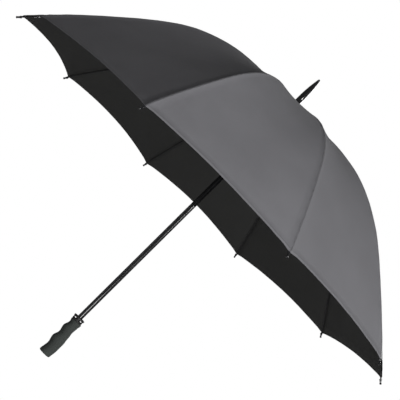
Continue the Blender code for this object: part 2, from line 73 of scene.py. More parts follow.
# Sizes and places, read from the frame


def joint(name):
    return next(j for j in frame["joints"] if j["name"] == name)


def radius_and_height(position):
    x, y, z = position
    return Vector((math.hypot(x, y), z))


RIB_COUNT = sum(1 for name in frame["bodies"] if name.startswith("rib_arm_"))
STEP = 2 * math.pi / RIB_COUNT
HALF_PANEL = STEP / 2

GORE_LOW, GORE_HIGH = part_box("canopy_gore_01")
RIM_RADIUS = GORE_HIGH[0]
CROWN_Z = GORE_HIGH[2]
RIM_Z = GORE_LOW[2]
CLOTH_HOLE = 0.0078

NOTCH_PIVOT = radius_and_height(joint("canopy_fold")["pos_m"])
KNEE = radius_and_height(joint("stretcher_01_swing")["pos_m"])
RUNNER_PIVOT = radius_and_height(joint("runner_swing")["pos_m"])
LINK = (KNEE - NOTCH_PIVOT).length

GRIP_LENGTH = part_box("grip")[1].z
CUP_LOW, CUP_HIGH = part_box("tip_cup")
FERRULE_LOW, FERRULE_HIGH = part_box("ferrule")
RUNNER_LOW, RUNNER_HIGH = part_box("runner")
SHAFT_LOW, SHAFT_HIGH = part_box("shaft")
SHAFT_RADIUS = SHAFT_HIGH[0]
BORE = SHAFT_RADIUS + 0.0002

# Shapes of the parts, as the design has them

TIP_SLOPE = math.radians(54.0)
BEND_START = 0.02
BEND_END = 0.67
EVEN_BEND = 0.28
CLOTH = 0.0005
RIB_BELOW_CLOTH = 0.0045
RIB_ROD = 0.0016
RIB_END_DROP = 0.0042
RIB_END_SHARE = 0.06
PIVOT_RADIUS = NOTCH_PIVOT.x
WIRE = 0.0007
EYE = 0.0024
EYE_HOLE = 0.0011
STRETCHER_OFFSET = 0.0056
TIP_CAP_LENGTH = 0.0149
GRIP_SIDE = 0.0151
GRIP_BACK = (
    (0, 0.0160), (0.024, 0.0185), (0.046, 0.0185), (0.068, 0.0162), (0.083, 0.0142), (0.098, 0.0152),
    (GRIP_LENGTH, 0.0172),
)
GRIP_FRONT = (
    (0, 0.0166), (0.026, 0.0134), (0.047, 0.0176), (0.065, 0.0130), (0.083, 0.0166), (0.100, 0.0122),
    (GRIP_LENGTH, 0.0148),
)
GRIP_EDGE = 0.0028
GRIP_EDGE_ROUND = 0.0016
GRIP_RIB = 0.00018
GRIP_RIB_PITCH = 0.0030
GRIP_PARTING = 0.00025
CUP_WALL = 0.0018
SHAFT_BORE = 0.0055
FERRULE_TAPER = 0.068
RUNNER_HEAD = 0.0149
RUNNER_FOOT = 0.0117
RUNNER_SLEEVE = 0.0097
STRAP_RIB = 3
STRAP_SHARES = (0.70, 0.93)
SHARP_EDGE = math.radians(32)
CLOTH_SHARP_EDGE = math.radians(50)

# The looks of the cloth

HEM_RISES = (0.0130, 0.0165, 0.0240, 0.0250, 0.0220, 0.0175, 0.0135, 0.0120, 0.0135, 0.0175)
PANEL_DIP = 0.010
HEM_WIDTH = 0.009
SEAM_WIDTH = 0.0030
CLOTH_ROWS = 58
CLOTH_COLUMNS = 11
BROAD_WAVE = 0.0011
FINE_WAVE = 0.00045
SEAM_PUCKER = 0.0007
HEM_PULL = 0.0005
CORNER_DRAW = 0.0026
# Painted light and shade by panel: each factor lightens or darkens a whole panel of cloth as the studio
# light falls on it.
PAINTED_PANEL_SHADING = (1.00, 0.96, 1.02, 0.97, 1.00, 0.90, 0.80, 1.25, 1.00, 0.70)

# Camera, its distance and direction from the middle of the rim, with the floor and the dim world

CAMERA_DISTANCE = 2.602
CAMERA_SIDE = math.radians(0.36)
CAMERA_BELOW = math.radians(4.41)
CAMERA_ROLL = math.radians(45.25)
CAMERA_LENS = 93.03
CAMERA_SHIFT = (-0.0045, -0.0080)
FLOOR_Z = -1.4
FLOOR_RADIUS = 60.0
SENSOR_WIDTH = 36.0
VIEW_DEPTH = 200.0
WORLD_LIGHT = 0.12


# Camera, floor and lights


def make_camera():
    data = bpy.data.cameras.new("camera")
    data.lens = CAMERA_LENS
    data.sensor_width = SENSOR_WIDTH
    data.shift_x, data.shift_y = CAMERA_SHIFT
    data.clip_end = VIEW_DEPTH
    camera = bpy.data.objects.new("camera", data)
    bpy.context.scene.collection.objects.link(camera)
    back = Vector(
        (
            math.sin(CAMERA_SIDE) * math.cos(CAMERA_BELOW),
            -math.cos(CAMERA_SIDE) * math.cos(CAMERA_BELOW),
            -math.sin(CAMERA_BELOW),
        )
    )
    right = Vector((math.cos(CAMERA_SIDE), math.sin(CAMERA_SIDE), 0.0))
    up = back.cross(right)
    roll = Matrix.Rotation(CAMERA_ROLL, 4, back)
    turn = Matrix((roll @ right, roll @ up, back)).transposed().to_4x4()
    place = Vector((0.0, 0.0, RIM_Z)) + back * CAMERA_DISTANCE
    camera.matrix_world = Matrix.Translation(place) @ turn
    bpy.context.scene.camera = camera


def aimed(direction):
    """A light's rotation that shines from a direction towards the umbrella."""
    return Vector(direction).to_track_quat("Z", "Y").to_matrix().to_4x4()


def area_light(name, side, height, distance, size, power, tint=(1, 1, 1), target_z=0.72):
    """A softbox at a bearing from the camera's side and a height, in degrees."""
    a, e = math.radians(side), math.radians(height)
    way = Vector((math.sin(a) * math.cos(e), -math.cos(a) * math.cos(e), math.sin(e)))
    data = bpy.data.lights.new(name, "AREA")
    data.shape = "RECTANGLE"
    data.size, data.size_y = size
    data.energy = power
    data.color = tint
    light = bpy.data.objects.new(name, data)
    bpy.context.scene.collection.objects.link(light)
    place = Vector((0.0, 0.0, target_z)) + way * distance
    light.matrix_world = Matrix.Translation(place) @ aimed(way)


def seen_and_lit(nodes, links, seen, lit):
    """Mixes what the camera sees with what lights the object."""
    path = nodes.new("ShaderNodeLightPath")
    mix = nodes.new("ShaderNodeMixShader")
    links.new(path.outputs["Is Camera Ray"], mix.inputs["Fac"])
    links.new(lit.outputs[0], mix.inputs[1])
    links.new(seen.outputs[0], mix.inputs[2])
    return mix


def make_world():
    world = bpy.data.worlds.new("studio")
    world.use_nodes = True
    nodes, links = world.node_tree.nodes, world.node_tree.links
    nodes.clear()
    seen = nodes.new("ShaderNodeBackground")
    seen.inputs["Strength"].default_value = 1.0
    seen.inputs["Color"].default_value = (1.0, 1.0, 1.0, 1.0)
    lit = nodes.new("ShaderNodeBackground")
    lit.inputs["Strength"].default_value = WORLD_LIGHT
    lit.inputs["Color"].default_value = (1.0, 1.0, 1.02, 1.0)
    out = nodes.new("ShaderNodeOutputWorld")
    mix = seen_and_lit(nodes, links, seen, lit)
    links.new(mix.outputs[0], out.inputs["Surface"])
    bpy.context.scene.world = world
    bpy.context.scene.view_settings.view_transform = "Standard"


def make_floor():
    mesh = bpy.data.meshes.new("floor")
    bm = bmesh.new()
    bmesh.ops.create_circle(bm, cap_ends=True, segments=64, radius=FLOOR_RADIUS)
    bmesh.ops.translate(bm, vec=(0, 0, FLOOR_Z), verts=bm.verts)
    bm.to_mesh(mesh)
    bm.free()
    floor = bpy.data.objects.new("floor", mesh)
    bpy.context.scene.collection.objects.link(floor)
    m = bpy.data.materials.new("pale_floor")
    m.use_nodes = True
    nodes, links = m.node_tree.nodes, m.node_tree.links
    nodes.clear()
    seen = nodes.new("ShaderNodeEmission")
    seen.inputs["Strength"].default_value = 1.0
    lit = nodes.new("ShaderNodeBsdfDiffuse")
    lit.inputs["Color"].default_value = (0.5, 0.5, 0.5, 1.0)
    out = nodes.new("ShaderNodeOutputMaterial")
    mix = seen_and_lit(nodes, links, seen, lit)
    links.new(mix.outputs[0], out.inputs["Surface"])
    mesh.materials.append(m)


def make_lights():
    area_light("key", 44, 8, 3.6, (1.2, 1.0), 90)
    area_light("low_front", 16, -18, 3.6, (1.4, 0.8), 34)
    area_light("back", 150, 12, 3.4, (2.2, 1.2), 34)
    area_light("low_left_strip", -62, -8, 2.2, (0.12, 2.4), 2.8, target_z=0.3)


# Materials: each is a small node tree over a Principled shader


class Finish:
    """A material under construction, with helpers for its nodes."""

    def __init__(self, name, color, roughness, metallic=0.0, **sockets):
        self.material = bpy.data.materials.new(name)
        self.material.use_nodes = True
        self.tree = self.material.node_tree
        self.shader = self.tree.nodes["Principled BSDF"]
        self.shader.inputs["Base Color"].default_value = (*color, 1.0)
        self.shader.inputs["Roughness"].default_value = roughness
        self.shader.inputs["Metallic"].default_value = metallic
        for label, value in sockets.items():
            self.shader.inputs[label.replace("_", " ")].default_value = value
        self.coordinates = self.node("ShaderNodeTexCoord")

    def node(self, kind, **values):
        n = self.tree.nodes.new(kind)
        for key, value in values.items():
            setattr(n, key, value)
        return n

    def link(self, a, b):
        self.tree.links.new(a, b)

    def stretched(self, scale, source="Object"):
        """Coordinates scaled along each axis."""
        mapping = self.node("ShaderNodeMapping")
        mapping.inputs["Scale"].default_value = scale
        self.link(self.coordinates.outputs[source], mapping.inputs["Vector"])
        return mapping.outputs["Vector"]

    def grain(self, scale, detail=3.0, source="Object", stretch=(1, 1, 1)):
        n = self.node("ShaderNodeTexNoise")
        n.inputs["Scale"].default_value = scale
        n.inputs["Detail"].default_value = detail
        self.link(self.stretched(stretch, source), n.inputs["Vector"])
        return n.outputs["Fac"]

    def spread(self, value, low, high, to_low, to_high):
        """Maps a range of a value to another range."""
        n = self.node("ShaderNodeMapRange")
        for socket, number in zip(range(1, 5), (low, high, to_low, to_high)):
            n.inputs[socket].default_value = number
        self.link(value, n.inputs[0])
        return n.outputs[0]

    def maths(self, operation, a, b):
        n = self.node("ShaderNodeMath", operation=operation)
        for i, value in enumerate((a, b)):
            if isinstance(value, (int, float)):
                n.inputs[i].default_value = value
            else:
                self.link(value, n.inputs[i])
        return n.outputs[0]

    def blend(self, factor, dark, light):
        n = self.node("ShaderNodeMix", data_type="RGBA")
        self.link(factor, n.inputs[0])
        for socket, value in ((6, dark), (7, light)):
            if isinstance(value, tuple):
                n.inputs[socket].default_value = (*value, 1.0)
            else:
                self.link(value, n.inputs[socket])
        return n.outputs[2]

    def color(self, value):
        self.link(value, self.shader.inputs["Base Color"])

    def roughness(self, value):
        self.link(value, self.shader.inputs["Roughness"])

    def bump(self, *layers):
        """Bump from several (height, strength, distance) layers, one on the other."""
        last = None
        for height, strength, distance in layers:
            n = self.node("ShaderNodeBump")
            n.inputs["Strength"].default_value = strength
            n.inputs["Distance"].default_value = distance
            self.link(height, n.inputs["Height"])
            if last:
                self.link(last, n.inputs["Normal"])
            last = n.outputs["Normal"]
        self.link(last, self.shader.inputs["Normal"])


def shade_of(color, factor):
    return tuple(c * factor for c in color)


def cloth_finish(name, color, sheen, threads=9000.0, seam=True):
    """Plain-woven pongee. U runs across a seam and V along it, both in metres."""
    f = Finish(name, color, 0.62, 0.0, Sheen_Weight=sheen, Sheen_Roughness=0.45, Specular_IOR_Level=0.28)
    uv = f.node("ShaderNodeSeparateXYZ")
    f.link(f.coordinates.outputs["UV"], uv.inputs[0])
    across, along = uv.outputs[0], uv.outputs[1]
    warp = f.maths("SINE", f.maths("MULTIPLY", across, threads), 0.0)
    weft = f.maths("SINE", f.maths("MULTIPLY", along, threads), 0.0)
    weave = f.maths("MULTIPLY", warp, weft)
    slub = f.grain(240.0, 4.0, "UV", (1.0, 0.16, 1.0))
    cloud = f.grain(7.0, 2.0)
    tone = f.maths("ADD", f.maths("MULTIPLY", slub, 0.35), f.maths("MULTIPLY", cloud, 0.65))
    base = f.blend(f.spread(tone, 0.35, 0.65, 0.0, 1.0), shade_of(color, 0.92), shade_of(color, 1.07))
    base = f.blend(f.spread(weave, -1.0, 1.0, 0.0, 0.5), base, shade_of(color, 1.12))
    if seam:
        # Painted panel light and shade: the face's factor darkens the cloth colour panel by panel.
        painted_panel_shade = f.node("ShaderNodeAttribute", attribute_name="painted_panel_shade")
        base = f.blend(painted_panel_shade.outputs["Fac"], (0.0, 0.0, 0.0), base)
    heights = [(weave, 0.25, 0.00012), (slub, 0.12, 0.0004)]
    if seam:
        side = f.maths("ABSOLUTE", across, 0.0)
        row = f.maths("COMPARE", side, 0.0021)
        row.node.inputs[2].default_value = 0.00045
        dash = f.maths("LESS_THAN", f.maths("FRACT", f.maths("MULTIPLY", along, 400.0), 0.0), 0.72)
        stitch = f.maths("MULTIPLY", row, dash)
        edge = f.node("ShaderNodeSeparateXYZ")
        f.link(f.node("ShaderNodeUVMap", uv_map="hem").outputs["UV"], edge.inputs[0])
        hem_row = f.maths("COMPARE", edge.outputs[1], HEM_WIDTH - 0.0012)
        hem_row.node.inputs[2].default_value = 0.00045
        hem_dash = f.maths("LESS_THAN", f.maths("FRACT", f.maths("MULTIPLY", across, 400.0), 0.0), 0.72)
        stitch = f.maths("MAXIMUM", stitch, f.maths("MULTIPLY", hem_row, hem_dash))
        # Painted shade: the cloth darkens in the seam's groove, within 0.7 mm of its middle.
        groove = f.maths("COMPARE", side, 0.0)
        groove.node.inputs[2].default_value = 0.0007
        base = f.blend(stitch, base, shade_of(color, 0.45))
        base = f.blend(groove, base, shade_of(color, 0.40))
        heights.append((stitch, 0.6, 0.0004))
    f.color(base)
    f.roughness(f.spread(slub, 0.2, 0.8, 0.55, 0.72))
    f.bump(*heights)
    return f.material


def gloss_finish(name, color, roughness, coat=0.6):
    """Lacquered or polished black, with faint handling marks."""
    f = Finish(name, color, roughness, 0.0, Coat_Weight=coat, Coat_Roughness=0.06, IOR=1.5)
    marks = f.grain(90.0, 5.0, stretch=(1, 1, 0.12))
    dust = f.grain(900.0, 2.0)
    f.color(f.blend(f.spread(dust, 0.55, 0.9, 0.0, 0.6), color, shade_of(color, 2.4)))
    f.roughness(f.spread(marks, 0.3, 0.75, roughness * 0.8, roughness * 1.8))
    f.bump((marks, 0.04, 0.0004))
    return f.material


def fibre_finish(name, color, roughness):
    """Pultruded fibreglass: fine streaks that run along the rod."""
    f = Finish(name, color, roughness, 0.0, Coat_Weight=0.25, Coat_Roughness=0.15)
    streaks = f.grain(60.0, 6.0, "UV", (40.0, 1.0, 1.0))
    f.color(f.blend(f.spread(streaks, 0.35, 0.7, 0.0, 1.0), shade_of(color, 0.8), shade_of(color, 1.9)))
    f.roughness(f.spread(streaks, 0.3, 0.7, roughness * 0.8, roughness * 1.3))
    f.bump((streaks, 0.10, 0.0002))
    return f.material


def moulded_finish(name, color, roughness):
    """Moulded nylon with a spark-eroded grain and paler, rubbed high spots."""
    f = Finish(name, color, roughness, 0.0, Specular_IOR_Level=0.45)
    grain = f.grain(2600.0, 2.0)
    wear = f.grain(45.0, 5.0)
    f.color(f.blend(f.spread(wear, 0.5, 0.8, 0.0, 0.6), color, shade_of(color, 2.2)))
    f.roughness(f.spread(grain, 0.3, 0.7, roughness * 0.85, roughness * 1.2))
    f.bump((grain, 0.18, 0.0002))
    return f.material


def metal_finish(name, color, roughness, metallic):
    """Drawn or enamelled steel with lengthwise brushing."""
    f = Finish(name, color, roughness, metallic)
    brush = f.grain(400.0, 3.0, stretch=(1.0, 1.0, 0.08))
    spots = f.grain(70.0, 4.0)
    f.color(f.blend(f.spread(spots, 0.45, 0.8, 0.0, 0.7), color, shade_of(color, 1.6)))
    f.roughness(f.spread(brush, 0.3, 0.7, roughness * 0.75, roughness * 1.35))
    f.bump((brush, 0.08, 0.0002))
    return f.material


def rubber_finish(name, color):
    """Soft moulded rubber: fine pebbling, and a paler bloom where a hand rubs it."""
    f = Finish(name, color, 0.78, 0.0, Specular_IOR_Level=0.35, Sheen_Weight=0.08)
    pebble = f.node("ShaderNodeTexVoronoi")
    pebble.inputs["Scale"].default_value = 900.0
    f.link(f.coordinates.outputs["Object"], pebble.inputs["Vector"])
    bloom = f.grain(38.0, 5.0)
    fine = f.grain(1500.0, 2.0)
    base = f.blend(f.spread(bloom, 0.35, 0.75, 0.0, 1.0), shade_of(color, 0.80), shade_of(color, 1.45))
    f.color(f.blend(f.spread(fine, 0.4, 0.7, 0.0, 0.35), base, shade_of(color, 1.6)))
    f.roughness(f.spread(bloom, 0.3, 0.7, 0.70, 0.86))
    f.bump((pebble.outputs["Distance"], 0.30, 0.0003), (fine, 0.15, 0.0002))
    return f.material


# The grey of the panel painted brightest; the painted panel shading darkens the other panels from it.
CLOTH_GREY = (0.202, 0.200, 0.213)
OUTER = cloth_finish("canopy_cloth", CLOTH_GREY, 0.06)
INNER = cloth_finish("canopy_inner_side", (0.048, 0.048, 0.046), 0.04)
STRAP_CLOTH = cloth_finish("strap_cloth", shade_of(CLOTH_GREY, 0.9), 0.15, seam=False)
THREAD = cloth_finish("thread", (0.05, 0.05, 0.055), 0.3, 16000.0, seam=False)
SHAFT_GLOSS = gloss_finish("shaft_lacquer", (0.010, 0.010, 0.011), 0.16)
FERRULE_GLOSS = gloss_finish("ferrule_gloss", (0.007, 0.007, 0.008), 0.10, 0.8)
TIP_GLOSS = gloss_finish("tip_gloss", (0.008, 0.008, 0.009), 0.12, 0.8)
RIB_FIBRE = fibre_finish("rib_fibreglass", (0.010, 0.010, 0.011), 0.30)
ENAMEL = metal_finish("enamelled_steel", (0.018, 0.018, 0.020), 0.34, 0.5)
STEEL = metal_finish("spring_steel", (0.55, 0.55, 0.56), 0.28, 1.0)
NYLON = moulded_finish("moulded_nylon", (0.014, 0.014, 0.014), 0.42)
RUBBER = rubber_finish("grip_rubber", (0.034, 0.039, 0.036))


# The curve of an opened rib, as the design has it


def bend_share(share):
    u = min(max((share - BEND_START) / (BEND_END - BEND_START), 0.0), 1.0)
    return (1 - EVEN_BEND) * u * u * (3 - 2 * u) + EVEN_BEND * share


def cloth_line(steps=400):
    r, z = 0.0, 0.0
    line = [(r, z)]
    for i in range(steps):
        a = TIP_SLOPE * bend_share((i + 0.5) / steps)
        r += math.cos(a) / steps
        z -= math.sin(a) / steps
        line.append((r, z))
    widen, deepen = RIM_RADIUS / r, (CROWN_Z - RIM_Z) / -z
    return [Vector((x * widen, CROWN_Z + y * deepen)) for x, y in line]


CLOTH_LINE = cloth_line()
CLOTH_LENGTH = sum((b - a).length for a, b in zip(CLOTH_LINE, CLOTH_LINE[1:]))
FIRST_SHARE = CLOTH_HOLE / CLOTH_LENGTH


def cloth_at(share):
    at = min(max(share, 0.0), 1.0) * (len(CLOTH_LINE) - 1)
    i = min(int(at), len(CLOTH_LINE) - 2)
    return CLOTH_LINE[i].lerp(CLOTH_LINE[i + 1], at - i)


def direction_at(share):
    return (cloth_at(min(share + 0.004, 1.0)) - cloth_at(max(share - 0.004, 0.0))).normalized()


def inward_at(share):
    along = direction_at(share)
    return Vector((along.y, -along.x))


def rib_at(share):
    drop = RIB_BELOW_CLOTH
    if share < RIB_END_SHARE:
        drop += RIB_END_DROP * (1 - share / RIB_END_SHARE) ** 2
    return cloth_at(share) + inward_at(share) * drop


TIP = rib_at(1.0)
TIP_HEADING = direction_at(1.0)


def eased(stations, z):
    """A smooth value between stations of (height, value)."""
    for (z0, a), (z1, b) in zip(stations, stations[1:]):
        if z <= z1:
            return a + (b - a) * (1 - math.cos(math.pi * (z - z0) / (z1 - z0))) / 2
    return stations[-1][1]


# A small kit for building meshes


class Shape:
    """A mesh under construction. Each call adds one closed form in its own finish."""

    def __init__(self):
        self.bm = bmesh.new()
        self.uv = self.bm.loops.layers.uv.new("uv")
        self.finishes = []

    def slot(self, finish):
        if finish not in self.finishes:
            self.finishes.append(finish)
        return self.finishes.index(finish)

    def skin(self, rings, finish, closed=True, cap=True):
        """Faces between rings of points. U is the share round a ring, V the way along."""
        index = self.slot(finish)
        made = [[self.bm.verts.new(p) for p in ring] for ring in rings]
        count = len(made[0])
        last = count if closed else count - 1
        lengths = [0.0]
        for a, b in zip(rings, rings[1:]):
            lengths.append(lengths[-1] + (Vector(b[0]) - Vector(a[0])).length)
        for i in range(len(made) - 1):
            for j in range(last):
                k = (j + 1) % count
                quad = (made[i][j], made[i + 1][j], made[i + 1][k], made[i][k])
                face = self.bm.faces.new(quad)
                face.material_index = index
                face.smooth = True
                corners = ((i, j), (i + 1, j), (i + 1, j + 1), (i, j + 1))
                for loop, (row, column) in zip(face.loops, corners):
                    loop[self.uv].uv = (column / count * 0.02, lengths[row])
        if cap:
            for ring, flip in ((made[0], False), (made[-1], True)):
                face = self.bm.faces.new(reversed(ring) if flip else ring)
                face.material_index = index
        return made

    def lathe(self, profile, finish, place=Matrix(), sides=32, ring=False):
        """A profile of (radius, height) turned round Z, outer side first, top to bottom."""
        rings = []
        for r, z in profile:
            turn = [2 * math.pi * j / sides for j in range(sides)]
            r = max(r, 0.00002)
            rings.append([place @ Vector((r * math.cos(a), r * math.sin(a), z)) for a in turn])
        if ring:
            rings.append(rings[0])
        self.skin(rings, finish, cap=not ring)

    def tube(self, points, radius, finish, sides=12):
        """A round rod along points, with closed ends. radius is a number or a list."""
        rings = []
        radii = radius if isinstance(radius, list) else [radius] * len(points)
        side = None
        for i, p in enumerate(points):
            ahead = points[min(i + 1, len(points) - 1)]
            behind = points[max(i - 1, 0)]
            along = (ahead - behind).normalized()
            if side is None:
                side = along.orthogonal().normalized()
            side = (side - along * side.dot(along)).normalized()
            other = along.cross(side)
            turn = [2 * math.pi * j / sides for j in range(sides)]
            rings.append([p + (side * math.cos(a) - other * math.sin(a)) * radii[i] for a in turn])
        self.skin(rings, finish)

    def pin(self, middle, axis, length, radius, finish, sides=16, bevel=0.0002):
        """A cylinder with small chamfers."""
        axis = Vector(axis).normalized()
        half = length / 2
        thin = radius - bevel
        spots = ((-half, thin), (-half + bevel, radius), (half - bevel, radius), (half, thin))
        self.tube([middle + axis * s for s, _ in spots], [r for _, r in spots], finish, sides)

    def eyelet(self, middle, axis, length, outer, inner, finish, sides=24):
        """A short tube open at both ends."""
        turn = Vector(axis).to_track_quat("Z", "Y").to_matrix().to_4x4()
        place = Matrix.Translation(middle) @ turn
        h, b = length / 2, 0.00015
        profile = [(outer - b, h), (outer, h - b), (outer, b - h), (outer - b, -h)]
        profile += [(inner + b, -h), (inner, b - h), (inner, h - b), (inner + b, h)]
        self.lathe(profile, finish, place, sides, ring=True)

    def plate(self, outline, thickness, finish, place=Matrix(), bevel=0.0002):
        """A flat plate in the XZ plane, thick along Y, with chamfered edges."""
        centre = sum((Vector(p) for p in outline), Vector((0, 0))) / len(outline)
        rings = []
        half = thickness / 2
        for y, inset in ((half, bevel), (half - bevel, 0), (bevel - half, 0), (-half, bevel)):
            ring = []
            for p in outline:
                way = centre - Vector(p)
                q = Vector(p) + way.normalized() * inset
                ring.append(place @ Vector((q.x, y, q.y)))
            rings.append(ring)
        self.skin(rings, finish)

    def finish(self, name, slot, replaces=(), body=None, sharp=32):
        bmesh.ops.recalc_face_normals(self.bm, faces=self.bm.faces)
        mesh = bpy.data.meshes.new(name)
        self.bm.to_mesh(mesh)
        self.bm.free()
        for m in self.finishes:
            mesh.materials.append(m)
        mesh.set_sharp_from_angle(angle=math.radians(sharp))
        obj = bpy.data.objects.new(name, mesh)
        bpy.context.scene.collection.objects.link(obj)
        return placed(obj, replaces, body)


def placed(obj, replaces, body):
    """Hides the CAD nodes a piece stands for and hangs it on the body it rides."""
    if replaces:
        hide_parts(*replaces)
    if body:
        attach(obj, body)
    return obj


def plane_point(p, y=0.0):
    return Vector((p.x, y, p.y))


def turned(k):
    return Matrix.Rotation(k * STEP, 4, "Z")


def number(k):
    return f"{k % RIB_COUNT + 1:02d}"


def cut(obj, blocks):
    """Cuts boxes of (size, place) out of a mesh."""
    for size, place in blocks:
        bm = bmesh.new()
        bmesh.ops.create_cube(bm, size=1.0)
        bm.transform(place @ Matrix.Diagonal((*size, 1.0)))
        mesh = bpy.data.meshes.new("cutter")
        bm.to_mesh(mesh)
        bm.free()
        cutter = bpy.data.objects.new("cutter", mesh)
        bpy.context.scene.collection.objects.link(cutter)
        modifier = obj.modifiers.new("cut", "BOOLEAN")
        modifier.operation = "DIFFERENCE"
        modifier.solver = "EXACT"
        modifier.object = cutter
        graph = bpy.context.evaluated_depsgraph_get()
        solid = bpy.data.meshes.new_from_object(obj.evaluated_get(graph))
        obj.modifiers.clear()
        obj.data = solid
        bpy.data.objects.remove(cutter)
    obj.data.set_sharp_from_angle(angle=SHARP_EDGE)


# Canopy


def cloth_sides(half):
    """Distances from the seam to the middle of a panel: close together at the seam, then wider."""
    seam = ((0.0, 0.0), (0.0010, 0.10), (SEAM_WIDTH, 0.24), (SEAM_WIDTH + 0.0008, 0.32))
    spots = [min(wide, half * share) for wide, share in seam]
    edge = spots[-1]
    for i in range(1, CLOTH_COLUMNS + 1):
        spots.append(edge + (half - edge) * i / CLOTH_COLUMNS)
    return spots


def cloth_rows():
    """Shares of the way from the crown to the hem, close together at the crown and the hem."""
    hem = 1 - (HEM_WIDTH + 0.0008) / CLOTH_LENGTH
    rows = [FIRST_SHARE + (hem - FIRST_SHARE) * (i / CLOTH_ROWS) ** 1.06 for i in range(CLOTH_ROWS + 1)]
    rows.append(1 - HEM_WIDTH / CLOTH_LENGTH)
    rows.append(1 - HEM_WIDTH / 2 / CLOTH_LENGTH)
    rows.append(1 - 0.0006 / CLOTH_LENGTH)
    rows.append(1.0)
    return rows


def ripple(place, along, beside, from_hem):
    """How far the cloth stands off its smooth curve: seam puckers, hem pulls and broad waves."""
    wave = BROAD_WAVE * noise.noise(place * 9.0)
    wave += FINE_WAVE * noise.noise(place * 34.0)
    pucker = math.exp(-((beside / 0.014) ** 2)) * (1 - math.exp(-((beside / 0.004) ** 2)))
    wave += SEAM_PUCKER * pucker * math.sin(along * 330 + 3 * noise.noise(place * 21.0))
    pull = math.exp(-((from_hem / 0.010) ** 2)) * min(1.0, beside / 0.012)
    wave += HEM_PULL * pull * noise.noise(Vector((place.x * 70, place.y * 70, 4.0)))
    return wave * min(1.0, along / 0.05)


def make_gore(k):
    """The cloth on both sides of a rib, out to the middle of the panels beside it."""
    bm = bmesh.new()
    weave = bm.loops.layers.uv.new("uv")
    hem = bm.loops.layers.uv.new("hem")
    painted_panel_shade = bm.faces.layers.float.new("painted_panel_shade")
    turn = turned(k)
    grid, facts = [], []
    for share in cloth_rows():
        r = cloth_at(share).x
        half = r * math.sin(HALF_PANEL)
        spots = cloth_sides(half)
        line, marks = [], []
        for beside in [-s for s in reversed(spots[1:])] + spots:
            wide = abs(beside)
            sign = math.copysign(1.0, beside)
            angle = math.atan2(wide * math.cos(HALF_PANEL), r - wide * math.sin(HALF_PANEL))
            away = min(angle / HALF_PANEL, 1.0)
            spread = 1 - (1 - away) ** 2
            rise = HEM_RISES[(k if beside > 0 else k - 1) % RIB_COUNT]
            at = share * (1 - rise / CLOTH_LENGTH * spread * share**3)
            p = cloth_at(at)
            inward = inward_at(at)
            out = p.x * math.cos(HALF_PANEL) / math.cos(HALF_PANEL - angle)
            dip = PANEL_DIP * spread * math.sin(math.pi * share) ** 2
            from_hem = (1 - share) * CLOTH_LENGTH
            lift = 0.0
            if wide < SEAM_WIDTH + 0.0001:
                lift += 0.00035 if wide > 0.0005 else 0.0001
            if from_hem < HEM_WIDTH + 0.0001:
                lift += 0.0003
            corner = math.exp(-((from_hem**2 + beside**2) / 0.012**2))
            lift -= CORNER_DRAW * corner
            place = Vector((out * math.cos(sign * angle), out * math.sin(sign * angle), p.y))
            lift += ripple(turn @ place, at * CLOTH_LENGTH, wide, from_hem)
            offset = inward * (dip - lift)
            lean = sign * HALF_PANEL * min(1.0, wide / 0.01)
            place += Vector((offset.x * math.cos(lean), offset.x * math.sin(lean), offset.y))
            line.append(bm.verts.new(turn @ place))
            marks.append((beside, at * CLOTH_LENGTH, from_hem))
        grid.append(line)
        facts.append(marks)
    for i in range(len(grid) - 1):
        for j in range(len(grid[0]) - 1):
            corners = ((i, j), (i + 1, j), (i + 1, j + 1), (i, j + 1))
            face = bm.faces.new([grid[a][b] for a, b in corners])
            face.smooth = True
            # Each face carries its panel's factor of painted light and shade.
            panel = k if j >= (len(grid[0]) - 1) // 2 else k - 1
            face[painted_panel_shade] = PAINTED_PANEL_SHADING[panel % RIB_COUNT] / max(PAINTED_PANEL_SHADING)
            for loop, (a, b) in zip(face.loops, corners):
                beside, along, from_hem = facts[a][b]
                loop[weave].uv = (beside, along)
                loop[hem].uv = (beside, from_hem)
    mesh = bpy.data.meshes.new(f"canopy_cloth_{number(k)}")
    bm.to_mesh(mesh)
    bm.free()
    mesh.materials.append(OUTER)
    mesh.materials.append(INNER)
    obj = bpy.data.objects.new(mesh.name, mesh)
    bpy.context.scene.collection.objects.link(obj)
    shell = obj.modifiers.new("thickness", "SOLIDIFY")
    shell.thickness = CLOTH
    shell.offset = -1.0
    shell.material_offset = 1
    shell.material_offset_rim = 0
    graph = bpy.context.evaluated_depsgraph_get()
    solid = bpy.data.meshes.new_from_object(obj.evaluated_get(graph))
    obj.modifiers.clear()
    obj.data = solid
    solid.set_sharp_from_angle(angle=CLOTH_SHARP_EDGE)
    return obj


def crumple(obj):
    """Gives a piece of cloth its own copy of its mesh."""
    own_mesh(obj)


def make_canopy():
    for k in range(RIB_COUNT):
        obj = make_gore(k)
        placed(obj, (f"canopy_gore_{number(k)}",), f"rib_arm_{number(k)}")
        crumple(obj)


# Closing strap: a narrow band sewn to the cloth beside a rib, with a snap at its free end


